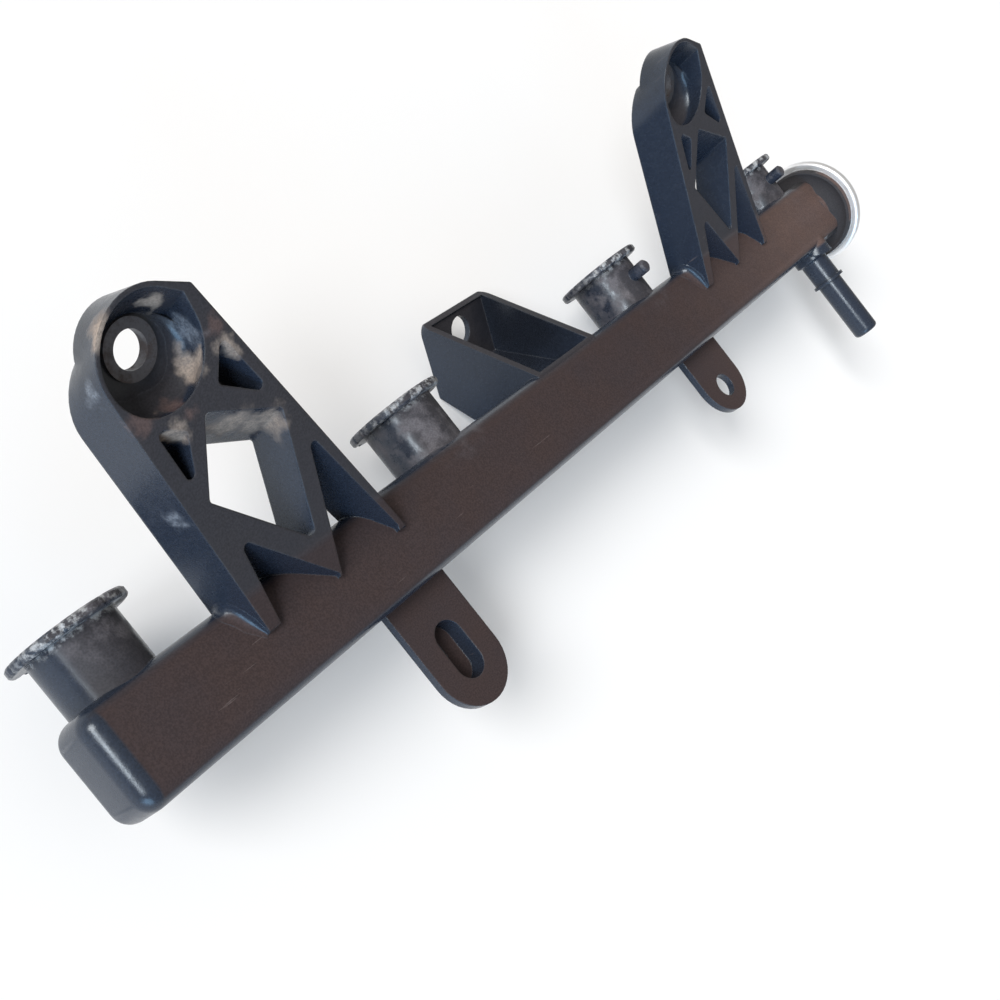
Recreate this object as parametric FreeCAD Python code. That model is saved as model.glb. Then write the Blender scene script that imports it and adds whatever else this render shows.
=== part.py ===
import FreeCAD, Part
import math
import os

Vector = FreeCAD.Vector

# Gallery bar: lies along X with its axis at y = 0, z = 0
first_injector_x = 1.1
injector_pitch = 91.2
injector_count = 4
bar_width = 20.5
bar_height = 16.0
bar_corner = 4.0
bar_wall = 2.6
closed_end_overhang = 13.1
closed_end_round = 3.9
open_end_overhang = 16.1

# Injector cups: round sockets along +Y below the bar's middle, each with a thin flange at its mouth
cup_drop = 2.6
cup_radius = 8.9
cup_mouth_y = 23.6
cup_flange_radius = 12.0
cup_flange_thickness = 1.9
cup_bore_radius = 7.1
cup_bore_depth = 14.0
cup_feed_radius = 2.6
cup_lead_in = 0.7
flange_chamfer = 0.4
flange_notch_width = 3.0
flange_notch_depth = 1.6
flange_notch_angle = 52.0
key_peg_radius = 1.8
key_peg_reach = 14.0
key_peg_from_mouth = 7.3
keyed_cups = 2

# Bolting brackets: trussed plates that rise from the top of the bar at the bolt angle
bolt_tilt = 37.8
bracket_drop = 12.7
bracket_spacing = 180.0
foot_left_x = 25.6
foot_right_x = 66.0
foot_start_s = 1.8
peak_x = 28.8
peak_s = 65.2
boss_x = 18.4
boss_s = 57.6
boss_radius = 10.8
rib_width = 2.6
rib_corner = 1.0
blind_pocket_drop = 8.6
bolt_hole_radius = 3.3
limiter_wall = 1.2
limiter_flange_radius = 5.2
limiter_flange_thickness = 0.6
limiter_flange_gap = 0.1
boss_rim = 0.8
boss_recess_depth = 6.1
boss_web = 1.4
boss_tail_radius = 8.5
boss_skirt = 0.7
seat_pad_radius = 7.0

# Middle foot: an open box between two cups, with a sloping end wall that takes a screw
foot_centre_x = 140.0
foot_width = 26.4
foot_wall = 2.0
foot_end_wall = 1.6
foot_rim_y = 38.2
foot_rim_z = -13.6
foot_end_tilt = 30.0
foot_end_length = 19.5
foot_root_z = -10.4
foot_hole_radius = 3.7
foot_hole_inset = 6.4
foot_profile_round = 0.5
foot_upright_round = 3.0

# Ears: two flat tabs on the other side, one with a deep slot and one with a round hole
ear_width = 19.0
ear_thickness = 2.0
ear_top_z = 1.6
slot_ear_x = 62.0
slot_ear_reach = 37.8
slot_width = 7.4
slot_length = 13.6
slot_inset = 9.6
slot_collar_wall = 1.4
slot_collar_depth = 5.5
slot_floor = 1.0
slit_width = 3.2
slit_length = 6.5
slit_margin = 0.4
hole_ear_x = 193.0
hole_ear_reach = 30.2
ear_hole_radius = 3.3
ear_hole_inset = 7.5

# Inlet spout: a quick-connect tube end along -Y near the open end
inlet_from_last_injector = 0.7
inlet_rise = 0.8
inlet_tube_radius = 3.945
inlet_bore_radius = 2.7
inlet_reach = 41.8
inlet_tip_round = 1.3
inlet_collar_radius = 5.2
inlet_collar_width = 0.9
inlet_collar_from_tip = 21.3
inlet_neck_radius = 4.4
inlet_boss_radius = 5.6
inlet_boss_reach = 12.5
inlet_step = 0.6
inlet_ridge_start_y = 1.5
inlet_ridge_end_y = 11.0
inlet_ridge_end_z = 3.2
inlet_ridge_radius = 5.2

# Damper socket at the open end, and the pulsation damper that closes it
socket_flange_radius = 14.7
socket_flange_thickness = 2.4
socket_flare_length = 1.8
socket_dish_depth = 0.35
socket_dish_inner_radius = 11.4
socket_dish_outer_radius = 13.4
socket_radius = 5.9
socket_depth = 8.5
damper_rim_radius = 17.0
damper_dish_thickness = 1.6
damper_can_radius = 12.0
damper_can_height = 5.2
damper_sheet = 1.0
damper_crown_cut = 1.4
plug_clearance = 0.15
plug_length = 6.8
plug_wall = 1.0
seal_cord = 1.8
seal_squeeze = 0.12
diaphragm_thickness = 0.4
spring_seat_radius = 6.0
spring_seat_thickness = 0.8
spring_radius = 4.6
spring_wire_width = 1.0
spring_wire_thickness = 0.5
spring_turns = 1.75

# Worked out from the sizes above
top_z = bar_height / 2
injector_xs = [first_injector_x + index * injector_pitch for index in range(injector_count)]
last_injector_x = injector_xs[-1]
bar_start_x = first_injector_x - closed_end_overhang
bar_end_x = last_injector_x + open_end_overhang
tilt_cos = math.cos(math.radians(bolt_tilt))
tilt_sin = math.sin(math.radians(bolt_tilt))
plate_normal = Vector(0, -tilt_sin, tilt_cos)
limiter_radius = bolt_hole_radius + limiter_wall
seat_depth = boss_recess_depth + boss_web
inlet_x = last_injector_x + inlet_from_last_injector
flange_face_x = bar_end_x + socket_flange_thickness


def plate_point(x, s):
    """A point on a bracket's front plane: s is measured up the slope from the bar's centre line."""
    return Vector(x, s * tilt_cos, top_z + s * tilt_sin)


def rounded_wire(corners, radius):
    """Closed outline through coplanar corners, each rounded as far as its two sides allow."""
    edges = []
    starts = []
    ends = []
    middles = []
    count = len(corners)
    for index in range(count):
        corner = corners[index]
        before = corners[index - 1] - corner
        after = corners[(index + 1) % count] - corner
        room = 0.45 * min(before.Length, after.Length)
        before.normalize()
        after.normalize()
        half = before.getAngle(after) / 2
        cut = min(radius / math.tan(half), room)
        bend = cut * math.tan(half)
        bisector = before + after
        bisector.normalize()
        starts.append(corner + before * cut)
        ends.append(corner + after * cut)
        middles.append(corner + bisector * (bend / math.sin(half) - bend))
    for index in range(count):
        edges.append(Part.Arc(starts[index], middles[index], ends[index]).toShape())
        edges.append(Part.LineSegment(ends[index], starts[(index + 1) % count]).toShape())
    return Part.Wire(edges)


def plate_prism(corners, radius, rise, drop):
    """Prism with upright walls whose outline lies on the bracket plane, from rise above it to drop below."""
    outline = rounded_wire([plate_point(x, s) for x, s in corners], radius)
    face = Part.Face(outline)
    face.translate(Vector(0, 0, rise))
    return face.extrude(Vector(0, 0, -rise - drop))


def rod(radius, length, start, direction):
    return Part.makeCylinder(radius, length, start, direction)


def edges_where(shape, test):
    """Edges of a shape whose middle point passes the test."""
    found = []
    for edge in shape.Edges:
        middle = edge.valueAt((edge.FirstParameter + edge.LastParameter) / 2)
        if test(edge, middle):
            found.append(edge)
    return found


def turned(profile, origin, turn_from_x):
    """Solid turned about X from (distance along, radius) points, then swung about Z by an angle."""
    points = [Vector(along, radius, 0) for along, radius in profile]
    edges = []
    for start, end in zip(points, points[1:] + points[:1]):
        edges.append(Part.LineSegment(start, end).toShape())
    solid = Part.Face(Part.Wire(edges)).revolve(Vector(0, 0, 0), Vector(1, 0, 0), 360)
    solid.rotate(Vector(0, 0, 0), Vector(0, 0, 1), turn_from_x)
    solid.translate(origin)
    return solid


def rounded_bar(width, height, corner, start_x, end_x, end_round):
    """Bar along X with rounded long edges and a pillowed end at start_x."""
    bar = Part.makeBox(end_x - start_x, width, height, Vector(start_x, -width / 2, -height / 2))
    long_edges = edges_where(bar, lambda edge, middle: abs(edge.tangentAt(edge.FirstParameter).x) > 0.9)
    bar = bar.makeFillet(corner, long_edges)
    end_edges = edges_where(bar, lambda edge, middle: abs(middle.x - start_x) < 0.01)
    return bar.makeFillet(end_round, end_edges)


def make_bar():
    """Outside of the gallery bar, up to the round flange that flares out at its open end."""
    bar = rounded_bar(bar_width, bar_height, bar_corner, bar_start_x, bar_end_x, closed_end_round)
    flare_radius = bar_height / 2 + 0.1 * socket_flare_length
    profile = [
        (-socket_flare_length, 0),
        (-socket_flare_length, flare_radius),
        (-0.3 * socket_flare_length, flare_radius + 0.3 * socket_flare_length),
        (socket_dish_depth, socket_dish_inner_radius),
        (socket_dish_depth, socket_dish_outer_radius),
        (0, (socket_dish_outer_radius + socket_flange_radius) / 2),
        (flange_chamfer, socket_flange_radius),
        (socket_flange_thickness, socket_flange_radius),
        (socket_flange_thickness, 0),
    ]
    return bar.fuse(turned(profile, Vector(bar_end_x, 0, 0), 0))


def make_gallery():
    """Fuel space inside the bar, opening into the damper socket."""
    inner_corner = bar_corner - bar_wall / 2
    gallery = rounded_bar(
        bar_width - 2 * bar_wall,
        bar_height - 2 * bar_wall,
        inner_corner,
        bar_start_x + bar_wall,
        bar_end_x,
        inner_corner / 2,
    )
    socket_start = flange_face_x - socket_depth
    socket = rod(socket_radius, socket_depth, Vector(socket_start, 0, 0), Vector(1, 0, 0))
    return gallery.fuse(socket)


def make_cup(x):
    """One injector cup with its flange and clip notches, from inside the bar's side to its mouth."""
    start_y = bar_width / 2 - bar_corner
    barrel = rod(cup_radius, cup_mouth_y - start_y, Vector(x, start_y, -cup_drop), Vector(0, 1, 0))
    flange_y = cup_mouth_y - cup_flange_thickness
    flange = rod(cup_flange_radius, cup_flange_thickness, Vector(0, flange_y, 0), Vector(0, 1, 0))
    rims = edges_where(flange, lambda edge, middle: edge.Length > 3 * cup_flange_radius)
    flange = flange.makeChamfer(flange_chamfer, rims)
    for side in (-1, 1):
        notch = Part.makeBox(
            2 * flange_notch_depth,
            3 * cup_flange_thickness,
            flange_notch_width,
            Vector(cup_flange_radius - flange_notch_depth, flange_y - cup_flange_thickness, -flange_notch_width / 2),
        )
        notch.rotate(Vector(0, 0, 0), Vector(0, 1, 0), 90 + side * (90 - flange_notch_angle))
        flange = flange.cut(notch)
    flange.translate(Vector(x, 0, -cup_drop))
    return barrel.fuse(flange)


def make_key_peg(x):
    """Short round peg on top of a cup that keys the injector clip."""
    y = cup_mouth_y - key_peg_from_mouth
    peg = rod(key_peg_radius, key_peg_reach, Vector(x, y, -cup_drop), Vector(0, 0, 1))
    tip = edges_where(peg, lambda edge, middle: middle.z > key_peg_reach - cup_drop - 0.01)
    return peg.makeChamfer(0.3 * key_peg_radius, tip)


def make_cup_bore(x):
    """Stepped bore of one cup: lead-in, seal bore and feed hole into the gallery."""
    floor_y = cup_mouth_y - cup_bore_depth
    feed_start_y = bar_width / 2 - 2 * bar_wall
    bore = rod(cup_bore_radius, cup_bore_depth + 1, Vector(x, floor_y, -cup_drop), Vector(0, 1, 0))
    feed = rod(cup_feed_radius, floor_y + 1 - feed_start_y, Vector(x, feed_start_y, -cup_drop), Vector(0, 1, 0))
    lead_in = Part.makeCone(
        cup_bore_radius,
        cup_bore_radius + 2 * cup_lead_in,
        2 * cup_lead_in,
        Vector(x, cup_mouth_y - cup_lead_in, -cup_drop),
        Vector(0, 1, 0),
    )
    return bore.fuse([feed, lead_in])


def tangent_point(point, centre, radius, side):
    """Where the line from an outside point touches a circle, on its left (+1) or right (-1) side."""
    dx = point[0] - centre[0]
    ds = point[1] - centre[1]
    distance = math.hypot(dx, ds)
    angle = math.atan2(ds, dx) + side * math.acos(radius / distance)
    return (centre[0] + radius * math.cos(angle), centre[1] + radius * math.sin(angle))


def boss_outline(radius, foot, peak):
    """Where the straight sides from a foot and a peak meet the round boss, and a point between them."""
    centre = (boss_x, boss_s)
    left = tangent_point(foot, centre, radius, -1)
    top = tangent_point(peak, centre, radius, 1)
    crown_angle = math.radians(145)
    crown = (boss_x + radius * math.cos(crown_angle), boss_s + radius * math.sin(crown_angle))
    return left, crown, top


def make_bracket_plate():
    """Outer block of one bracket: the outline swept straight down from the sloping front plane."""
    peak = (peak_x, peak_s)
    left, crown, top = boss_outline(boss_radius, (foot_left_x, 0), peak)
    arc = Part.Arc(plate_point(*left), plate_point(*crown), plate_point(*top)).toShape()
    left_share = foot_start_s / left[1]
    right_share = foot_start_s / peak_s
    left_foot = (foot_left_x + left_share * (left[0] - foot_left_x), foot_start_s)
    right_foot = (foot_right_x + right_share * (peak_x - foot_right_x), foot_start_s)
    corners = [top, peak, right_foot, left_foot, left]
    points = [plate_point(x, s) for x, s in corners]
    edges = [arc]
    for start, end in zip(points[:-1], points[1:]):
        edges.append(Part.LineSegment(start, end).toShape())
    face = Part.Face(Part.Wire(Part.sortEdges(edges)[0]))
    plate = face.extrude(Vector(0, 0, -bracket_drop))
    peak_edge = edges_where(
        plate,
        lambda edge, middle: edge.Length > 0.9 * bracket_drop
        and abs(edge.tangentAt(edge.FirstParameter).z) > 0.99
        and middle.sub(plate_point(*peak)).Length < bracket_drop,
    )
    return plate.makeFillet(rib_corner, peak_edge)


def make_truss_pockets():
    """Openings between the ribs: two blind pockets and three that run right through."""
    through = bracket_drop + 1
    small = plate_prism([(31.6, 55.4), (39.6, 41.9), (28.6, 48.0)], rib_corner, 1, blind_pocket_drop)
    narrow = plate_prism([(13.9, 46.8), (20.2, 43.6), (18.7, 32.6)], rib_corner, 1, blind_pocket_drop)
    main_corners = [(24.4, 45.0), (40.8, 38.6), (41.2, 12.0), (20.4, 30.5)]
    main = plate_prism(main_corners, rib_corner, 1, through)
    lower_right = plate_prism([(44.9, 32.2), (62.8, 3.0), (62.8, -3), (45.2, -3)], rib_corner, 1, through)
    lower_left = plate_prism([(23.8, 21.8), (44.6, 2.6), (44.6, -3), (29.0, -3)], rib_corner, 1, through)
    return small.fuse([narrow, main, lower_right, lower_left])


def boss_depth_point(depth):
    """The point on the bolt's axis at a depth below the bracket's front plane."""
    return plate_point(boss_x, boss_s) - plate_normal * depth


def make_boss_recess():
    """Recess over the bolt that follows the boss and runs into the peak, with room for the sleeve's flange."""
    tip = (peak_x - 2.4 * boss_rim, peak_s - boss_rim)
    low = tangent_point(tip, (boss_x, boss_s), boss_radius - boss_rim, -1)
    top = tangent_point(tip, (boss_x, boss_s), boss_radius - boss_rim, 1)
    opposite = (2 * boss_x - (low[0] + top[0]) / 2, 2 * boss_s - (low[1] + top[1]) / 2)
    away = math.hypot(opposite[0] - boss_x, opposite[1] - boss_s)
    reach = (boss_radius - boss_rim) / away
    far = (boss_x + reach * (opposite[0] - boss_x), boss_s + reach * (opposite[1] - boss_s))
    edges = [
        Part.LineSegment(plate_point(*low), plate_point(*tip)).toShape(),
        Part.LineSegment(plate_point(*tip), plate_point(*top)).toShape(),
        Part.Arc(plate_point(*top), plate_point(*far), plate_point(*low)).toShape(),
    ]
    face = Part.Face(Part.Wire(edges))
    face.translate(Vector(0, 0, 1))
    pan = face.extrude(Vector(0, 0, -1 - boss_recess_depth / tilt_cos))
    spot_radius = limiter_flange_radius + limiter_flange_gap
    spot = rod(spot_radius, boss_recess_depth, boss_depth_point(boss_recess_depth), plate_normal)
    return pan.fuse(spot)


def make_boss_taper():
    """Tapered boss about the bolt's axis, from the bracket's outline at the front to the skirt behind."""
    depth = seat_depth + boss_skirt
    return Part.makeCone(boss_tail_radius, boss_radius, depth, boss_depth_point(depth), plate_normal)


def make_bracket(x):
    """One trussed bracket, with the hole for its compression limiter and the round seat behind it."""
    bracket = make_bracket_plate().fuse(make_boss_taper())
    hole = rod(limiter_radius, boss_web + 2, boss_depth_point(seat_depth + 1), plate_normal)
    seat = rod(seat_pad_radius, bracket_drop, boss_depth_point(seat_depth), plate_normal * -1)
    bracket = bracket.cut([make_truss_pockets(), make_boss_recess(), seat, hole])
    bracket.translate(Vector(x, 0, 0))
    return bracket


def make_limiter(x):
    """Flanged steel sleeve that carries the bolt load through one bracket."""
    length = boss_web + limiter_flange_thickness
    sleeve = rod(limiter_radius, length, boss_depth_point(seat_depth), plate_normal)
    flange = rod(limiter_flange_radius, limiter_flange_thickness, boss_depth_point(boss_recess_depth), plate_normal)
    hole = rod(bolt_hole_radius, length + 2, boss_depth_point(seat_depth + 1), plate_normal)
    limiter = sleeve.fuse(flange).cut(hole)
    limiter.translate(Vector(x, 0, 0))
    return limiter


def foot_profile_prism(points, start_x, width):
    """Side profile of the middle foot, as (y, z) points, swept along X."""
    corners = [Vector(start_x, y, z) for y, z in points]
    face = Part.Face(rounded_wire(corners, foot_profile_round))
    return face.extrude(Vector(width, 0, 0))


def make_middle_foot():
    """Open box that reaches down to a sloping end wall with a screw hole."""
    start_x = foot_centre_x - foot_width / 2
    end_cos = math.cos(math.radians(foot_end_tilt))
    end_sin = math.sin(math.radians(foot_end_tilt))
    rim = (foot_rim_y, foot_rim_z)
    heel = (foot_rim_y - foot_end_length * end_cos, foot_rim_z - foot_end_length * end_sin)
    side_y = bar_width / 2
    rim_root = (side_y - bar_wall / 2, top_z - 0.6)
    low_root = (side_y - bar_wall, -top_z + bar_corner)
    toe = (side_y + 1.2, foot_root_z - top_z)
    body = foot_profile_prism([rim_root, rim, heel, toe, low_root], start_x, foot_width)
    tall = foot_rim_y - foot_root_z + foot_end_length
    plan_centre = Vector(start_x, side_y - bar_wall, -tall)
    plan = Part.makeBox(foot_width, foot_rim_y - plan_centre.y, 2 * tall, plan_centre)
    far_uprights = edges_where(
        plan,
        lambda edge, middle: abs(edge.tangentAt(edge.FirstParameter).z) > 0.99 and middle.y > foot_rim_y - 0.01,
    )
    body = body.common(plan.makeFillet(foot_upright_round, far_uprights))
    wall_rise = foot_end_wall / end_cos
    slope = end_sin / end_cos
    inner_rim_y = rim[0] - foot_wall
    inner_rim = (inner_rim_y, rim[1] + wall_rise - slope * foot_wall)
    inner_heel_y = heel[0] + foot_wall
    inner_heel = (inner_heel_y, heel[1] + wall_rise + slope * foot_wall)
    inner_root = (side_y, foot_root_z / 2)
    lip = (inner_rim_y, rim[1] + 2 * foot_end_length)
    above = foot_profile_prism(
        [(side_y, top_z + foot_end_length), lip, inner_rim, inner_heel, inner_root],
        start_x + foot_wall,
        foot_width - 2 * foot_wall,
    )
    below = foot_profile_prism(
        [
            (side_y - 1, foot_root_z / 2 - 2.6 * foot_wall),
            (inner_heel[0] - foot_wall, inner_heel[1] - foot_wall),
            (heel[0] - 1, heel[1] - 6),
            (toe[0] - 4, toe[1] - 6),
        ],
        start_x + foot_wall,
        foot_width - 2 * foot_wall,
    )
    hole_centre = Vector(
        foot_centre_x,
        rim[0] - foot_hole_inset * end_cos,
        rim[1] - foot_hole_inset * end_sin,
    )
    end_normal = Vector(0, -end_sin, end_cos)
    hole = rod(foot_hole_radius, 4 * foot_end_wall, hole_centre - end_normal * foot_end_wall, end_normal)
    return body.cut([above, below, hole])


def make_ear(x, reach):
    """Flat tab towards -Y with a half-round end."""
    half = ear_width / 2
    low_z = ear_top_z - ear_thickness
    arm = Part.makeBox(ear_width, reach - half, ear_thickness, Vector(x - half, half - reach, low_z))
    tip = rod(half, ear_thickness, Vector(x, half - reach, low_z), Vector(0, 0, 1))
    return arm.fuse(tip).removeSplitter()


def slot_prism(margin, low_z, high_z):
    """Upright prism over the slot's round-ended outline, widened all round by a margin."""
    radius = slot_width / 2 + margin
    start_y = slot_inset - slot_ear_reach
    end_y = start_y + slot_length - slot_width
    height = high_z - low_z
    prism = Part.makeBox(2 * radius, end_y - start_y, height, Vector(slot_ear_x - radius, start_y, low_z))
    ends = [rod(radius, height, Vector(slot_ear_x, y, low_z), Vector(0, 0, 1)) for y in (start_y, end_y)]
    return prism.fuse(ends).removeSplitter()


def make_slot_collar():
    """Deep wall under the slotted ear, all round the slot."""
    return slot_prism(slot_collar_wall, ear_top_z - slot_collar_depth, ear_top_z)


def make_ear_cuts():
    """The slot down to its thin floor, the slit in that floor, and the round hole of the other ear."""
    floor_z = ear_top_z - slot_collar_depth
    slot = slot_prism(0, floor_z + slot_floor, ear_top_z + 1)
    slit_x = slot_ear_x - slot_width / 2 + slit_margin
    slit_y = slot_inset - slot_ear_reach + slot_length - slot_width - slit_length / 2
    slit = Part.makeBox(slit_width, slit_length, 2 + slot_floor, Vector(slit_x, slit_y, floor_z - 1))
    hole_start = Vector(hole_ear_x, ear_hole_inset - hole_ear_reach, ear_top_z - 2 * ear_thickness)
    return [slot, slit, rod(ear_hole_radius, 3 * ear_thickness, hole_start, Vector(0, 0, 1))]


def make_inlet():
    """Moulded spout: round base, neck, thin collar and plain tube end."""
    collar_start = inlet_reach - inlet_collar_from_tip
    collar_end = collar_start + inlet_collar_width
    profile = [
        (0, 0),
        (0, inlet_boss_radius),
        (inlet_boss_reach, inlet_boss_radius),
        (inlet_boss_reach + inlet_step, inlet_neck_radius),
        (collar_start, inlet_neck_radius),
        (collar_start, inlet_collar_radius),
        (collar_end, inlet_collar_radius),
        (collar_end, inlet_tube_radius),
        (inlet_reach, inlet_tube_radius),
        (inlet_reach, 0),
    ]
    spout = turned(profile, Vector(inlet_x, 0, inlet_rise), -90)
    tip = edges_where(spout, lambda edge, middle: middle.y < 0.01 - inlet_reach)
    return spout.makeFillet(inlet_tip_round, tip)


def make_inlet_ridge():
    """Pointed ridge on the bar's front face that runs down onto the spout's base."""
    start = Vector(inlet_x, -inlet_ridge_start_y, top_z)
    end = Vector(inlet_x, -inlet_ridge_end_y, inlet_ridge_end_z)
    along = end - start
    return Part.makeCone(0, inlet_ridge_radius, along.Length, start, along)


def make_inlet_bore():
    """Fuel passage of the spout, from the gallery to the tip."""
    return rod(inlet_bore_radius, inlet_reach + 1, Vector(inlet_x, 0, inlet_rise), Vector(0, -1, 0))


def make_rail_body():
    """The whole moulding: bar, cups, brackets, foot, ears, spout and damper socket."""
    pieces = []
    for x in injector_xs:
        pieces.append(make_cup(x))
    for x in injector_xs[-keyed_cups:]:
        pieces.append(make_key_peg(x))
    pieces.append(make_bracket(0))
    pieces.append(make_bracket(bracket_spacing))
    pieces.append(make_middle_foot())
    pieces.append(make_ear(slot_ear_x, slot_ear_reach))
    pieces.append(make_slot_collar())
    pieces.append(make_ear(hole_ear_x, hole_ear_reach))
    pieces.append(make_inlet())
    pieces.append(make_inlet_ridge())
    body = make_bar().fuse(pieces)
    cuts = [make_gallery(), make_inlet_bore()]
    for x in injector_xs:
        cuts.append(make_cup_bore(x))
    cuts.extend(make_ear_cuts())
    return body.cut(cuts).removeSplitter()


def make_damper_housing():
    """Steel dish on the socket face, with the hollow plug that enters the socket."""
    plug_radius = socket_radius - plug_clearance
    groove = seal_cord * (1 - seal_squeeze)
    plug_bore_radius = plug_radius - plug_wall - groove
    groove_start = plug_wall - plug_length
    groove_end = groove_start + seal_cord + 2 * plug_clearance
    profile = [
        (-plug_length, plug_bore_radius),
        (-plug_length, plug_radius),
        (groove_start, plug_radius),
        (groove_start, plug_radius - groove + plug_clearance),
        (groove_end, plug_radius - groove + plug_clearance),
        (groove_end, plug_radius),
        (0, plug_radius),
        (0, damper_rim_radius - flange_chamfer),
        (flange_chamfer, damper_rim_radius),
        (damper_dish_thickness, damper_rim_radius),
        (damper_dish_thickness, plug_bore_radius),
    ]
    return turned(profile, Vector(flange_face_x, 0, 0), 0)


def make_damper_cover():
    """Drawn steel cover whose rim is seamed against the dish."""
    seam = damper_dish_thickness + diaphragm_thickness
    top = seam + damper_can_height
    inner_cut = damper_crown_cut - damper_sheet / 2
    profile = [
        (seam, damper_can_radius - damper_sheet),
        (seam, damper_rim_radius),
        (seam + damper_sheet - flange_chamfer, damper_rim_radius),
        (seam + damper_sheet, damper_rim_radius - flange_chamfer),
        (seam + damper_sheet, damper_can_radius),
        (top - damper_crown_cut, damper_can_radius),
        (top, damper_can_radius - damper_crown_cut),
        (top, 0),
        (top - damper_sheet, 0),
        (top - damper_sheet, damper_can_radius - damper_sheet - inner_cut),
        (top - damper_sheet - inner_cut, damper_can_radius - damper_sheet),
    ]
    return turned(profile, Vector(flange_face_x, 0, 0), 0)


def make_diaphragm():
    """Flexible disc clamped between dish and cover."""
    start = Vector(flange_face_x + damper_dish_thickness, 0, 0)
    return rod(damper_rim_radius - damper_sheet / 2, diaphragm_thickness, start, Vector(1, 0, 0))


def make_spring_seat():
    """Stiff disc on the diaphragm that the spring presses on."""
    start = Vector(flange_face_x + damper_dish_thickness + diaphragm_thickness, 0, 0)
    return rod(spring_seat_radius, spring_seat_thickness, start, Vector(1, 0, 0))


def make_spring():
    """Flat-wire coil spring between its seat and the crown of the cover."""
    start_x = flange_face_x + damper_dish_thickness + diaphragm_thickness + spring_seat_thickness
    room = damper_can_height - damper_sheet - spring_seat_thickness
    height = room - spring_wire_thickness
    helix = Part.makeHelix(height / spring_turns, height, spring_radius)
    inner = spring_radius - spring_wire_width / 2
    outer = spring_radius + spring_wire_width / 2
    low = Vector(inner, 0, 0)
    corners = [low, Vector(outer, 0, 0), Vector(outer, 0, spring_wire_thickness), Vector(inner, 0, spring_wire_thickness)]
    section = Part.makePolygon(corners + [low])
    coil = Part.Wire(helix).makePipeShell([section], True, True)
    coil.rotate(Vector(0, 0, 0), Vector(0, 1, 0), 90)
    coil.translate(Vector(start_x, 0, 0))
    return coil


def make_seal():
    """Rubber ring in the plug's groove, squeezed against the socket."""
    half = seal_cord * (1 - seal_squeeze) / 2
    centre_x = flange_face_x - plug_length + plug_wall + plug_clearance + seal_cord / 2
    return Part.makeTorus(socket_radius - half, half, Vector(centre_x, 0, 0), Vector(1, 0, 0))


def build():
    """All nodes by name, moved so that the seat of the left bolt is the origin."""
    nodes = {
        "rail_body": make_rail_body(),
        "damper_housing": make_damper_housing(),
        "damper_cover": make_damper_cover(),
        "damper_diaphragm": make_diaphragm(),
        "damper_spring_seat": make_spring_seat(),
        "damper_spring": make_spring(),
        "damper_seal": make_seal(),
        "compression_limiter_left": make_limiter(0),
        "compression_limiter_right": make_limiter(bracket_spacing),
    }
    for shape in nodes.values():
        shape.translate(boss_depth_point(seat_depth) * -1)
    return nodes


os.makedirs("parts", exist_ok=True)
for name, shape in build().items():
    shape.exportStep("parts/" + name + ".step")
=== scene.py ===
import math

import bmesh
import bpy
import numpy as np
from mathutils import Matrix, Vector


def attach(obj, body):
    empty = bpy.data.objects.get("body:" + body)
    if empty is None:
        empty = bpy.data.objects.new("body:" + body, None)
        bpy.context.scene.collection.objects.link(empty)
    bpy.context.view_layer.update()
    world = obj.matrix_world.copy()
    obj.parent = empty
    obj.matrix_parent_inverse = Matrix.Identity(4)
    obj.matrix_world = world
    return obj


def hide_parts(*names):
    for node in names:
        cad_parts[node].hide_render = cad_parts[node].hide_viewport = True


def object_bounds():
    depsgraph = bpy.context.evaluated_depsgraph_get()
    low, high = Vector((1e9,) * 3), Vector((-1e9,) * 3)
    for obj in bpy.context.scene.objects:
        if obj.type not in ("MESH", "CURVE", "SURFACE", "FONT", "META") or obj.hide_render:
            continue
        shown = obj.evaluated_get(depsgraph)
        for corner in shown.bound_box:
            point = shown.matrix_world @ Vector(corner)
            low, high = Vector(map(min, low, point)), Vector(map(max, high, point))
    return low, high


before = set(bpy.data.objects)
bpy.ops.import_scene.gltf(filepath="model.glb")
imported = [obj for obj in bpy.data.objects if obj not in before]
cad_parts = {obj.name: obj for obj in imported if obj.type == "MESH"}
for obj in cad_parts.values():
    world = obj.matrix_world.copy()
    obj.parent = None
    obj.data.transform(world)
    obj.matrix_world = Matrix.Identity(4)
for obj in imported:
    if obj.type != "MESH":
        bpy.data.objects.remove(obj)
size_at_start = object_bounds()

# The view of the photograph, solved from its straight edges: a phone held above the closed end
# of the rail and looking down along it, so that the injector side lies towards the top.
camera_data = bpy.data.cameras.new("camera")
camera_data.sensor_width = 36.0
camera_data.lens = 44.1
camera_data.shift_x = 0.0012
camera_data.shift_y = 0.0204
camera_data.clip_start = 0.01
camera = bpy.data.objects.new("camera", camera_data)
camera.matrix_world = Matrix((
    (0.5512, 0.4723, -0.6878, -0.11115),
    (-0.6183, 0.7848, 0.0434, -0.04881),
    (0.5603, 0.4014, 0.7246, 0.15980),
    (0.0, 0.0, 0.0, 1.0),
))
bpy.context.scene.collection.objects.link(camera)
bpy.context.scene.camera = camera
bpy.context.scene.view_settings.view_transform = "Standard"

# A white sheet of paper under the rail. It takes the soft shadow, and reads as pure white to the
# camera and in reflections where nothing shades it, without lighting the part more than paper would.


def put(tree, kind, settings, inputs):
    """Adds a shader node, sets its properties, and fills its inputs with plain values or links."""
    node = tree.nodes.new(kind)
    for key, value in settings.items():
        setattr(node, key, value)
    for key, value in inputs.items():
        if isinstance(value, bpy.types.NodeSocket):
            tree.links.new(value, node.inputs[key])
        else:
            node.inputs[key].default_value = value
    return node


def calc(tree, operation, *values):
    """Sums, products or the like of two or more values, taken from left to right."""
    total = values[0]
    for value in values[1:]:
        total = put(tree, "ShaderNodeMath", {"operation": operation}, {0: total, 1: value}).outputs[0]
    return total


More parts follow.
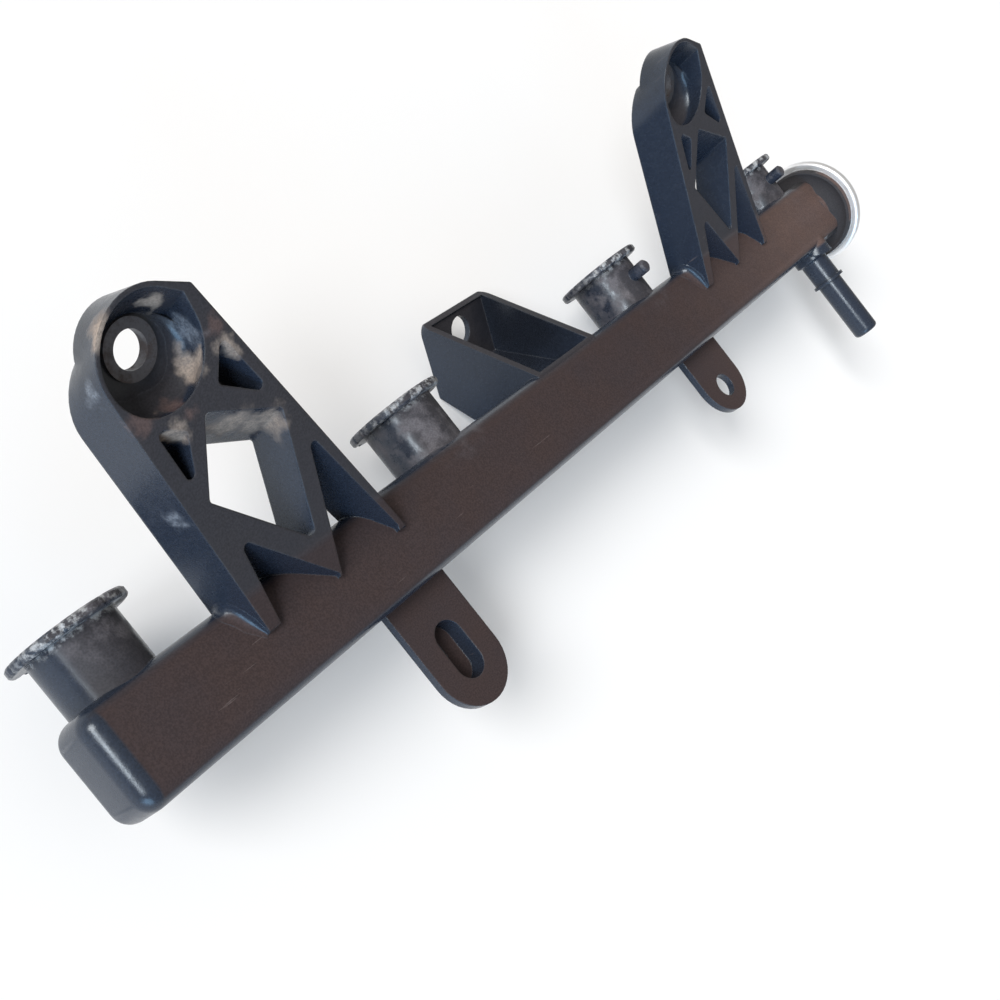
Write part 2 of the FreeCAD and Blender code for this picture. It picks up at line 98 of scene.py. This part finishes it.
paper_drop = 0.0005
paper_reach = 3.0
paper_lift = 0.13
paper_z = size_at_start[0].z - paper_drop
sheet_corners = [(x * paper_reach, y * paper_reach, paper_z) for x, y in ((-1, -1), (1, -1), (1, 1), (-1, 1))]
paper_mesh = bpy.data.meshes.new("paper")
paper_mesh.from_pydata(sheet_corners, [], [(0, 1, 2, 3)])
paper = bpy.data.objects.new("paper", paper_mesh)
bpy.context.scene.collection.objects.link(paper)
paper_look = bpy.data.materials.new("paper")
paper_look.use_nodes = True
tree = paper_look.node_tree
paper_shader = tree.nodes["Principled BSDF"]
paper_shader.inputs["Base Color"].default_value = (0.80, 0.80, 0.80, 1)
paper_shader.inputs["Roughness"].default_value = 0.95
paper_shader.inputs["Specular IOR Level"].default_value = 0.0
path_kind = put(tree, "ShaderNodeLightPath", {}, {})
mirrored = calc(tree, "MULTIPLY", path_kind.outputs["Is Glossy Ray"], 0.6)
seen = calc(tree, "MAXIMUM", path_kind.outputs["Is Camera Ray"], mirrored)
glow = {"Color": (1, 1, 1, 1), "Strength": calc(tree, "MULTIPLY", seen, paper_lift)}
lift = put(tree, "ShaderNodeEmission", {}, glow)
both = put(tree, "ShaderNodeAddShader", {}, {0: paper_shader.outputs[0], 1: lift.outputs[0]})
tree.links.new(both.outputs[0], tree.nodes["Material Output"].inputs["Surface"])
paper_mesh.materials.append(paper_look)

# Daylight from a high window beyond the closed end, a low blue one on the ears' side that gives
# the flanks their sheen, a small one straight behind the closed end that draws the bright line
# along its edge, and a weak even sky. Spreads are in degrees.
for name, direction, spread, strength, colour in (
    ("high_window", (-1.2, 0.62, 1.0), 27.0, 2.6, (1.0, 0.985, 0.97)),
    ("low_window", (-0.8, -0.8, 0.11), 42.0, 2.3, (0.43, 0.70, 1.0)),
    ("far_window", (-0.8, 0.0, 0.6), 16.0, 1.2, (0.93, 0.965, 1.0)),
):
    data = bpy.data.lights.new(name, "SUN")
    data.angle = math.radians(spread)
    data.energy = strength
    data.color = colour
    lamp = bpy.data.objects.new(name, data)
    lamp.rotation_euler = (-Vector(direction)).to_track_quat("-Z", "Y").to_euler()
    bpy.context.scene.collection.objects.link(lamp)
sky = bpy.data.worlds.new("sky")
sky.use_nodes = True
sky_light = sky.node_tree.nodes["Background"]
sky_light.inputs["Color"].default_value = (1.0, 0.955, 0.905, 1)
sky_light.inputs["Strength"].default_value = 0.38
bpy.context.scene.world = sky

# The moulding: bar, cups, brackets, foot, ears and spout in one shot of black glass-filled nylon.
# The mould sets wide fillets where the brackets stand on the bar and round the floor of each bolt
# recess. They are added here as closed strips whose back lies just inside the walls.
MM = 0.001
moulding_points = []
moulding_faces = []


def add_wedge(foot, first, second, radius, closed):
    """
    Closed strip that fills the corner between two surfaces with a concave round. At each point of
    the path, the round's centre lies one radius from both surfaces, and its section runs along
    that circle from the first surface to the second and back through the corner.
    """
    steps = np.linspace(0.0, 1.0, 9)[None, :, None]
    radius = np.broadcast_to(np.asarray(radius, float), (len(foot),))[:, None, None]
    first, second, foot = first[:, None, :], second[:, None, :], foot[:, None, :]
    overlap = np.sum(first * second, axis=2, keepdims=True)
    centre = foot + radius * (first + second) / (1 + overlap)
    toward = first * (1 - steps) + second * steps
    toward = toward / np.linalg.norm(toward, axis=2, keepdims=True)
    arc = centre - radius * toward
    sink = 0.1 * MM
    corner = foot - sink * (first + second)
    section = [arc[:, :1] - sink * first, arc, arc[:, -1:] - sink * second, corner]
    section = np.concatenate(section, axis=1)
    rows, columns = section.shape[:2]
    start = sum(len(block) for block in moulding_points)
    moulding_points.append(section.reshape(-1, 3))
    row = np.arange(rows if closed else rows - 1)[:, None] * columns
    above = (row + columns) % (rows * columns)
    column = np.arange(columns)[None, :]
    beside = (column + 1) % columns
    quads = np.stack([row + column, row + beside, above + beside, above + column], axis=-1)
    moulding_faces.extend((quads.reshape(-1, 4) + start).tolist())
    if not closed:
        moulding_faces.append((start + np.arange(columns))[::-1].tolist())
        moulding_faces.append((start + (rows - 1) * columns + np.arange(columns)).tolist())


seat_in_bar_frame = np.array([18.4, 50.1097, 37.3773]) * MM
tilt = math.radians(37.8)
across = np.array([1.0, 0.0, 0.0])
up_slope = np.array([0.0, math.cos(tilt), math.sin(tilt)])
plate_normal = np.array([0.0, -math.sin(tilt), math.cos(tilt)])
bar_half_width, bar_top, bar_round = 10.25 * MM, 8.0 * MM, 4.0 * MM
flat_edge = bar_half_width - bar_round
foot_round, flat_rows, round_rows, turns = 2.2 * MM, 7, 14, 96
foot_rows = flat_rows + round_rows
recess_radius, recess_depth = 10.0 * MM, 6.1 * MM
sleeve_flange_radius, smallest_round, largest_round = 5.2 * MM, 0.05 * MM, 3.6 * MM
for bracket_x in (0.0, 180.0 * MM):
    # Feet: each outer wall meets the flat top of the bar, its rounded edge and then its side. Given
    # are the wall's place on the bar's middle line, its lean and the direction in which it faces.
    for start_x, lean, wall_normal in (
        (25.6 * MM, -0.4075, (-0.9261, -0.3773, 0.0)),
        (66.0 * MM, -0.7221, (0.8107, 0.5854, 0.0)),
    ):
        flat_y = np.linspace(1.3 * MM, flat_edge, flat_rows + 1)[:-1]
        turn = np.linspace(0.0, math.pi / 2, round_rows)
        y = np.concatenate([flat_y, flat_edge + bar_round * np.sin(turn)])
        round_z = bar_top - bar_round + bar_round * np.cos(turn)
        z = np.concatenate([np.full(flat_rows, bar_top), round_z])
        face_y = np.concatenate([np.zeros(flat_rows), np.sin(turn)])
        face_z = np.concatenate([np.ones(flat_rows), np.cos(turn)])
        foot = np.stack([bracket_x + start_x + lean * y, y, z], axis=1) - seat_in_bar_frame
        bar_face = np.stack([np.zeros(foot_rows), face_y, face_z], axis=1)
        wall = np.tile(np.array(wall_normal), (foot_rows, 1))
        row = np.arange(foot_rows)
        swell = np.minimum(1.0, 0.35 + row / 8.0)
        taper = np.minimum(1.0, (20.4 - row) / 8.0)
        add_wedge(foot, bar_face, wall, foot_round * swell * taper, False)
    # Bolt recess: the floor is square to the bolt, the wall stands along Z, and the round between
    # them narrows where the sleeve's flange comes close to the wall.
    angle = np.linspace(0.0, 2 * math.pi, turns, endpoint=False)
    boss = np.array([18.4 * MM, 0.0, bar_top]) + 57.6 * MM * up_slope
    floor_centre = boss - np.array([0.0, 0.0, recess_depth / math.cos(tilt)])
    radial = np.cos(angle)[:, None] * across + np.sin(angle)[:, None] * up_slope
    tangent = -np.sin(angle)[:, None] * across + np.cos(angle)[:, None] * up_slope
    inward = np.cross(np.array([0.0, 0.0, 1.0]), tangent)
    inward = inward / np.linalg.norm(inward, axis=1, keepdims=True)
    foot = floor_centre + recess_radius * radial
    bolt_point = boss - recess_depth * plate_normal
    gap = np.linalg.norm(foot - bolt_point, axis=1) - sleeve_flange_radius
    floor = np.tile(plate_normal, (turns, 1))
    foot = foot + np.array([bracket_x, 0.0, 0.0]) - seat_in_bar_frame
    add_wedge(foot, floor, inward, np.clip(0.75 * gap, smallest_round, largest_round), True)

rounds_mesh = bpy.data.meshes.new("moulding_rounds")
rounds_mesh.from_pydata(np.concatenate(moulding_points).tolist(), [], moulding_faces)
work = bmesh.new()
work.from_mesh(rounds_mesh)
bmesh.ops.recalc_face_normals(work, faces=work.faces)
work.from_mesh(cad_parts["rail_body"].data)
bmesh.ops.remove_doubles(work, verts=work.verts, dist=2e-6)

# The cups' flanges are chipped where clips were levered off: their rims lose up to half a
# millimetre along an uneven line round each cup, most of all on the second cup.
cup_xs = (np.array([1.1, 92.3, 183.5, 274.7]) - 18.4) * MM
cup_z = (-2.6 - 37.3773) * MM
rim_start, rim_corner_start, rim_end = 10.2 * MM, 11.2 * MM, 12.6 * MM
flange_back, flange_front = -29.2 * MM, -26.0 * MM
corners = np.array([vertex.co for vertex in work.verts])
off_axis = np.hypot(np.min(np.abs(corners[:, :1] - cup_xs), axis=1), corners[:, 2] - cup_z)
at_rim = (off_axis > rim_corner_start) * (off_axis < rim_end) * (corners[:, 1] > flange_back)
work.verts.index_update()
rim_edges = [edge for edge in work.edges if all(at_rim[vertex.index] for vertex in edge.verts)]
bmesh.ops.subdivide_edges(work, edges=rim_edges, cuts=5)
bmesh.ops.triangulate(work, faces=work.faces)
work.verts.index_update()
points = np.array([vertex.co for vertex in work.verts])
triangles = [[vertex.index for vertex in face.verts] for face in work.faces]
work.free()
for cup_x, worn in zip(cup_xs, (0.45, 0.75, 0.4, 0.3)):
    dx, dz = points[:, 0] - cup_x, points[:, 2] - cup_z
    reach = np.hypot(dx, dz)
    around = np.arctan2(dz, dx)
    chips = np.sin(7 * around + 40 * worn) + np.sin(17 * around + 9 * worn) + 0.8 * np.sin(41 * around)
    depth = worn * MM * np.clip(0.5 * chips - 0.35, 0.0, 1.0)
    on_rim = np.clip((reach - rim_start) / (1.5 * MM), 0.0, 1.0) * (reach < rim_end)
    on_rim = on_rim * (points[:, 1] > flange_back) * (points[:, 1] < flange_front)
    shrink = 1 - depth * on_rim / np.maximum(reach, 1e-6)
    points[:, 0] = cup_x + dx * shrink
    points[:, 2] = cup_z + dz * shrink
rail_mesh = bpy.data.meshes.new("rail_moulding")
rail_mesh.from_pydata(points.tolist(), [], triangles)
rail_mesh.polygons.foreach_set("use_smooth", np.ones(len(rail_mesh.polygons), dtype=bool))
rail_mesh.set_sharp_from_angle(angle=math.radians(32))
rail = bpy.data.objects.new("rail_moulding", rail_mesh)
bpy.context.scene.collection.objects.link(rail)
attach(rail, "root")
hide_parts("rail_body")

# Its surface: satin black with a cool cast where it is clean, brown road dust on the bar and the
# ears that turns lighter towards the far end, grey dust on the bracket side, pale dried dirt round the
# first bolt, and grey dust with bright nicks on the cups. Painted shade darkens the bolt recesses and
# the inside of the foot, and pale bluish painted light brightens walls of the first bracket that face
# the low window. Spots are given as x, y, z and reach in millimetres.


def ramp(tree, value, start, end, low=0.0, high=1.0):
    """Value from start to end, eased at both ends, carried over to low to high."""
    settings = {"interpolation_type": "SMOOTHSTEP"}
    span = {"Value": value, "From Min": start, "From Max": end, "To Min": low, "To Max": high}
    return put(tree, "ShaderNodeMapRange", settings, span).outputs["Result"]


def noise(tree, vector, scale, detail, roughness=0.5):
    """Node for cloudy noise between 0 and 1, finer with a larger scale."""
    inputs = {"Vector": vector, "Scale": scale, "Detail": detail, "Roughness": roughness}
    return put(tree, "ShaderNodeTexNoise", {}, inputs)


def vector_calc(tree, operation, inputs):
    """Node for one sum, product or the like of two vectors."""
    return put(tree, "ShaderNodeVectorMath", {"operation": operation}, inputs)


def patches(tree, spots):
    """Mask of ragged round spots, each given as its middle's x, y and z and its reach."""
    total = 0.0
    for x, y, z, reach in spots:
        middle = (x * MM, y * MM, z * MM)
        away = vector_calc(tree, "DISTANCE", {0: stirred, 1: middle}).outputs["Value"]
        mask = ramp(tree, away, 0.35 * reach * MM, reach * MM, 1.0, 0.0)
        total = calc(tree, "MAXIMUM", mask, total)
    return total


def blend(tree, amount, first, second):
    """Colour that goes from the first to the second with the amount."""
    mix = put(tree, "ShaderNodeMix", {"data_type": "RGBA"}, {"Factor": amount})
    for socket, value in (("A", first), ("B", second)):
        target = [entry for entry in mix.inputs if entry.name == socket and entry.type == "RGBA"][0]
        if isinstance(value, bpy.types.NodeSocket):
            tree.links.new(value, target)
        else:
            target.default_value = (*value, 1)
    return [entry for entry in mix.outputs if entry.type == "RGBA"][0]


def new_look(name):
    """New material, its node tree, its shader and the place on the piece that a point has."""
    look = bpy.data.materials.new(name)
    look.use_nodes = True
    tree = look.node_tree
    place = put(tree, "ShaderNodeTexCoord", {}, {}).outputs["Object"]
    return look, tree, tree.nodes["Principled BSDF"], place


def feed(tree, shader, inputs):
    """Links each value to the shader's input of that name."""
    for name, value in inputs.items():
        tree.links.new(value, shader.inputs[name])


plastic, tree, shader, place = new_look("black_nylon")
surface = put(tree, "ShaderNodeNewGeometry", {}, {})
facing = put(tree, "ShaderNodeSeparateXYZ", {}, {0: surface.outputs["Normal"]})
at = put(tree, "ShaderNodeSeparateXYZ", {}, {0: place})
clouds = noise(tree, place, 70.0, 5.0, 0.6).outputs["Fac"]
flecks = noise(tree, place, 480.0, 4.0, 0.65).outputs["Fac"]
mottle = noise(tree, place, 210.0, 5.0, 0.62).outputs["Fac"]
grain = noise(tree, place, 2600.0, 2.0).outputs["Fac"]
bend = noise(tree, place, 260.0, 3.0).outputs["Color"]
shift = vector_calc(tree, "SUBTRACT", {0: bend, 1: (0.5, 0.5, 0.5)}).outputs[0]
shift = vector_calc(tree, "SCALE", {0: shift, "Scale": 0.007}).outputs[0]
stirred = vector_calc(tree, "ADD", {0: place, 1: shift}).outputs[0]

# The second colour is painted shade, the darker nylon of the recesses.
clean_nylon, painted_shade_nylon = (0.0175, 0.0235, 0.0370), (0.0100, 0.0125, 0.0185)
grey_dust, socket_dust = (0.0390, 0.0345, 0.0370), (0.030, 0.026, 0.026)
near_dust, far_end_brown = (0.0475, 0.0310, 0.0290), (0.108, 0.069, 0.058)
flat = ramp(tree, facing.outputs["Z"], 0.60, 0.80)
upward = calc(tree, "MULTIPLY", flat, ramp(tree, clouds, 0.25, 0.75, 0.8, 1.0))
# Painted shade: the bolt recesses of both brackets and the inside of the foot turn darker, and carry less
# grey dust.
shaded_recesses = patches(tree, (
    (-1.0, 0.0, 2.0, 13.0), (179.0, 0.0, 2.0, 13.0), (138.0, -24.0, -44.0, 22.0),
))
bracket_side = ramp(tree, at.outputs["Y"], -42.6 * MM, -39.8 * MM)
dust_share = ramp(tree, shaded_recesses, 0.0, 1.0, 0.85, 0.25)
grey_film = calc(tree, "MULTIPLY", upward, bracket_side, dust_share)
colour = blend(tree, shaded_recesses, clean_nylon, painted_shade_nylon)
colour = blend(tree, grey_film, colour, grey_dust)
beside_bracket = ramp(tree, at.outputs["Y"], -39.8 * MM, -42.6 * MM)
spout_start = ramp(tree, at.outputs["X"], 0.238, 0.242)
spout = calc(tree, "MULTIPLY", spout_start, ramp(tree, at.outputs["Y"], -59.5 * MM, -61.0 * MM))
off_spout = ramp(tree, spout, 0.0, 1.0, 1.0, 0.0)
past_end_round = ramp(tree, at.outputs["X"], -27.0 * MM, -26.2 * MM)
clear = calc(tree, "MULTIPLY", past_end_round, off_spout)
film = calc(tree, "MULTIPLY", upward, beside_bracket, clear)
# The brown turns lighter towards the far end of the bar.
brown_along_bar = blend(tree, ramp(tree, at.outputs["X"], 0.15, 0.27), near_dust, far_end_brown)
colour = blend(tree, film, colour, brown_along_bar)
socket_start = ramp(tree, at.outputs["X"], 0.2625, 0.265)
socket_end = calc(tree, "MULTIPLY", socket_start, ramp(tree, film, 0.0, 1.0, 0.85, 0.0))
colour = blend(tree, socket_end, colour, socket_dust)
film = calc(tree, "MAXIMUM", film, grey_film, socket_end)

# The last colour is painted light, a pale blue for walls that face the low window.
pale_dirt, rust_stain, painted_light_tint = (0.31, 0.255, 0.215), (0.115, 0.075, 0.068), (0.21, 0.235, 0.275)
dried = patches(tree, (
    (-8.6, 0.6, 10.2, 4.4), (14.0, -9.0, 2.6, 3.2), (-0.4, -14.0, -3.9, 3.4),
    (13.7, -15.6, -9.0, 6.2), (20.5, -18.0, -10.8, 6.2), (8.6, -7.0, 0.0, 3.6), (4.0, 2.0, 7.2, 3.2),
))
dried = calc(tree, "MULTIPLY", dried, ramp(tree, flecks, 0.3, 0.6, 0.55, 1.0))
colour = blend(tree, dried, colour, pale_dirt)
rusty = patches(tree, ((12.8, -4.9, 5.7, 3.2), (-5.6, -11.4, 0.6, 3.4), (3.0, -12.0, -3.0, 3.0)))
rusty = calc(tree, "MULTIPLY", rusty, 0.7)
colour = blend(tree, rusty, colour, rust_stain)
# Painted light: pale bluish patches on the walls of the first bracket that face the low window, its outer
# walls and the far wall of its bolt recess.
painted_light_spots = patches(tree, (
    (-11.3, -4.7, 1.6, 2.6), (-3.0, -25.2, -13.6, 3.6), (-12.9, -0.6, 9.0, 3.6), (10.0, -3.2, 3.2, 3.6),
))
painted_light_spots = calc(tree, "MULTIPLY", painted_light_spots, ramp(tree, flecks, 0.35, 0.65, 0.1, 0.55))
colour = blend(tree, painted_light_spots, colour, painted_light_tint)

cup_grey, bare_nick = (0.125, 0.118, 0.130), (0.40, 0.41, 0.42)
first_barrel = (cup_xs[0] / MM + 4.0, -28.0, -33.0, 12.0)
cup_dust = patches(tree, [first_barrel] + [(x / MM, -33.0, -38.0, 17.0) for x in cup_xs[1:]])
cup_dust = calc(tree, "MULTIPLY", cup_dust, ramp(tree, mottle, 0.40, 0.66, 0.05, 0.85))
colour = blend(tree, cup_dust, colour, cup_grey)
at_mouth = ramp(tree, at.outputs["Y"], -30.0 * MM, -28.6 * MM)
at_mouth = calc(tree, "MULTIPLY", at_mouth, patches(tree, [(x / MM, -27.5, -33.0, 17.0) for x in cup_xs]))
nicks = calc(tree, "MULTIPLY", at_mouth, ramp(tree, flecks, 0.46, 0.62, 0.0, 0.85))
colour = blend(tree, nicks, colour, bare_nick)

rubbed, scratched = (0.110, 0.118, 0.130), (0.16, 0.13, 0.125)
soft_edge = put(tree, "ShaderNodeBevel", {"samples": 4}, {"Radius": 0.5 * MM}).outputs["Normal"]
turned = vector_calc(tree, "DOT_PRODUCT", {0: soft_edge, 1: surface.outputs["Normal"]})
at_edge = ramp(tree, turned.outputs["Value"], 0.80, 0.97, 1.0, 0.0)
worn_edge = calc(tree, "MULTIPLY", at_edge, ramp(tree, clouds, 0.4, 0.65, 0.1, 0.45))
colour = blend(tree, worn_edge, colour, rubbed)
streak_settings = {"Vector": place, "Rotation": (0.0, 0.0, 0.5), "Scale": (90.0, 2600.0, 90.0)}
streak_place = put(tree, "ShaderNodeMapping", {}, streak_settings).outputs[0]
streaks = noise(tree, streak_place, 1.0, 2.0).outputs["Fac"]
scratches = ramp(tree, streaks, 0.70, 0.76)
scratches = calc(tree, "MULTIPLY", scratches, ramp(tree, clouds, 0.5, 0.62, 0.0, 0.45))
colour = blend(tree, scratches, colour, scratched)

shade = vector_calc(tree, "SCALE", {0: colour, "Scale": ramp(tree, grain, 0.3, 0.7, 0.82, 1.18)})
dull = calc(tree, "MAXIMUM", film, dried, rusty, cup_dust)
sheen = ramp(tree, dull, 0.0, 1.0, 0.25, 0.75)
sheen = calc(tree, "ADD", sheen, ramp(tree, flecks, 0.3, 0.7, -0.03, 0.05))
rough_flecks = calc(tree, "MULTIPLY", flecks, calc(tree, "ADD", 0.04, dried))
relief = calc(tree, "ADD", calc(tree, "MULTIPLY", grain, 0.4), rough_flecks)
texture = {"Strength": 0.35, "Distance": 0.00012, "Height": relief, "Normal": soft_edge}
feed(tree, shader, {
    "Base Color": shade.outputs[0],
    "Roughness": sheen,
    "Specular IOR Level": ramp(tree, dull, 0.0, 1.0, 0.5, 0.28),
    "Normal": put(tree, "ShaderNodeBump", {}, texture).outputs[0],
})
shader.inputs["Specular Tint"].default_value = (0.88, 0.95, 1.0, 1)
rail_mesh.materials.clear()
rail_mesh.materials.append(plastic)

# Flanged steel sleeves pressed into the bolting bosses: turned, thinly plated, and brown with
# surface rust where the bolt's washer broke the plating.
sleeve_steel, tree, shader, place = new_look("sleeve_steel")
plating, brown_rust = (0.115, 0.115, 0.125), (0.060, 0.046, 0.043)
rust = noise(tree, place, 420.0, 6.0, 0.7).outputs["Fac"]
texture = {"Strength": 0.4, "Distance": 0.0001, "Height": rust}
feed(tree, shader, {
    "Base Color": blend(tree, ramp(tree, rust, 0.38, 0.66), plating, brown_rust),
    "Roughness": ramp(tree, rust, 0.38, 0.66, 0.45, 0.8),
    "Metallic": ramp(tree, rust, 0.38, 0.66, 0.75, 0.2),
    "Normal": put(tree, "ShaderNodeBump", {}, texture).outputs[0],
})
for name in ("compression_limiter_left", "compression_limiter_right"):
    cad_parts[name].material_slots[0].material = sleeve_steel

# The pulsation damper: two drawn steel shells, the cover's rim rolled round the dish and the
# diaphragm. Both are zinc plated, bright and slightly clouded, with fine drawing lines round them.
damper_axis = np.array([0.0, -50.1097, -37.3773]) * MM
damper_face_x = (293.2 - 18.4) * MM
zinc, tree, shader, place = new_look("zinc_plate")
bright_zinc, clouded_zinc = (0.93, 0.935, 0.94), (0.78, 0.79, 0.81)
haze = noise(tree, place, 160.0, 5.0, 0.6).outputs["Fac"]
centred = vector_calc(tree, "SUBTRACT", {0: place, 1: tuple(damper_axis)}).outputs[0]
spread = vector_calc(tree, "MULTIPLY", {0: centred, 1: (0.0, 1.0, 1.0)}).outputs[0]
from_axis = vector_calc(tree, "LENGTH", {0: spread}).outputs["Value"]
line_settings = {"W": from_axis, "Scale": 9000.0, "Detail": 2.0}
lines = put(tree, "ShaderNodeTexNoise", {"noise_dimensions": "1D"}, line_settings).outputs["Fac"]
texture = {"Strength": 0.25, "Distance": 0.00004, "Height": lines}
feed(tree, shader, {
    "Base Color": blend(tree, ramp(tree, haze, 0.4, 0.75), bright_zinc, clouded_zinc),
    "Roughness": ramp(tree, haze, 0.3, 0.7, 0.34, 0.5),
    "Normal": put(tree, "ShaderNodeBump", {}, texture).outputs[0],
})
shader.inputs["Metallic"].default_value = 0.85


def turned_shell(name, node, profile):
    """
    Shell turned about the damper's axis: each point of the closed profile, given as distance
    along the axis and radius in millimetres, goes round in a circle of that radius.
    """
    turns = 160
    along, radius = np.array(profile).T * MM
    angle = np.linspace(0.0, 2 * math.pi, turns, endpoint=False)
    ring = np.stack([
        np.broadcast_to(damper_face_x + along[:, None], (len(along), turns)),
        damper_axis[1] + radius[:, None] * np.cos(angle),
        damper_axis[2] + radius[:, None] * np.sin(angle),
    ], axis=-1)
    row = np.arange(len(along))[:, None] * turns
    above = (row + turns) % (len(along) * turns)
    column = np.arange(turns)[None, :]
    beside = (column + 1) % turns
    quads = np.stack([row + column, above + column, above + beside, row + beside], axis=-1)
    mesh = bpy.data.meshes.new(name)
    mesh.from_pydata(ring.reshape(-1, 3).tolist(), [], quads.reshape(-1, 4).tolist())
    tidy = bmesh.new()
    tidy.from_mesh(mesh)
    bmesh.ops.remove_doubles(tidy, verts=tidy.verts, dist=1e-6)
    bmesh.ops.recalc_face_normals(tidy, faces=tidy.faces)
    tidy.to_mesh(mesh)
    tidy.free()
    mesh.polygons.foreach_set("use_smooth", np.ones(len(mesh.polygons), dtype=bool))
    mesh.set_sharp_from_angle(angle=math.radians(38))
    mesh.materials.append(zinc)
    shell = bpy.data.objects.new(name, mesh)
    bpy.context.scene.collection.objects.link(shell)
    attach(shell, "root")
    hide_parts(node)


def rounded(centre_along, centre_radius, size, start, end):
    """Points of a small arc in the profile, at angles in degrees measured from straight outwards."""
    angle = np.radians(np.linspace(start, end, 9))
    return [(centre_along - size * math.sin(a), centre_radius + size * math.cos(a)) for a in angle]


turned_shell("damper_dish", "damper_housing", [
    (-6.8, 3.1), (-6.8, 5.6), (-6.65, 5.75), (-5.8, 5.75), (-5.8, 4.316), (-3.7, 4.316), (-3.7, 5.75),
    (0.0, 5.75), (0.0, 14.9), (0.4, 15.1), (0.4, 16.0), (1.55, 16.0), (1.55, 3.1),
])
rim_roll, shoulder = 1.08, 1.58
rim = rounded(1.1, 15.9, rim_roll, 90, 0) + rounded(1.9, 15.9, rim_roll, 0, -90)
neck_turn = np.linspace(0, math.pi / 2, 7)
neck = [(2.98 + 0.9 * (1 - math.cos(t)), 12.9 - 0.9 * math.sin(t)) for t in neck_turn]
can = neck + rounded(5.6, 10.4, shoulder, 0, -90) + [(7.19, 0.0)]
inside = [(6.2, 0.0), (6.2, 10.2), (5.4, 11.0), (2.05, 11.0), (2.05, 16.1), (0.38, 16.1), (0.38, 15.1)]
turned_shell("damper_cap", "damper_cover", [(0.02, 15.1)] + rim + [(2.98, 13.2)] + can + inside)

# Inside the damper: a rubber-coated fabric diaphragm, its stiff plated disc, a flat-wire spring
# and the rubber ring that seals the plug in the bar.
for name, colour, roughness, metallic in (
    ("damper_diaphragm", (0.022, 0.021, 0.020), 0.75, 0.0),
    ("damper_seal", (0.016, 0.016, 0.017), 0.5, 0.0),
    ("damper_spring", (0.42, 0.42, 0.43), 0.35, 1.0),
    ("damper_spring_seat", (0.70, 0.71, 0.73), 0.4, 1.0),
):
    look, tree, shader, place = new_look(name + "_look")
    mottle = noise(tree, place, 600.0, 4.0).outputs["Fac"]
    darker = tuple(0.6 * part for part in colour)
    texture = {"Strength": 0.3, "Distance": 0.00005, "Height": mottle}
    feed(tree, shader, {
        "Base Color": blend(tree, mottle, colour, darker),
        "Roughness": ramp(tree, mottle, 0.3, 0.7, roughness - 0.08, roughness + 0.08),
        "Normal": put(tree, "ShaderNodeBump", {}, texture).outputs[0],
    })
    shader.inputs["Metallic"].default_value = metallic
    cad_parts[name].material_slots[0].material = look
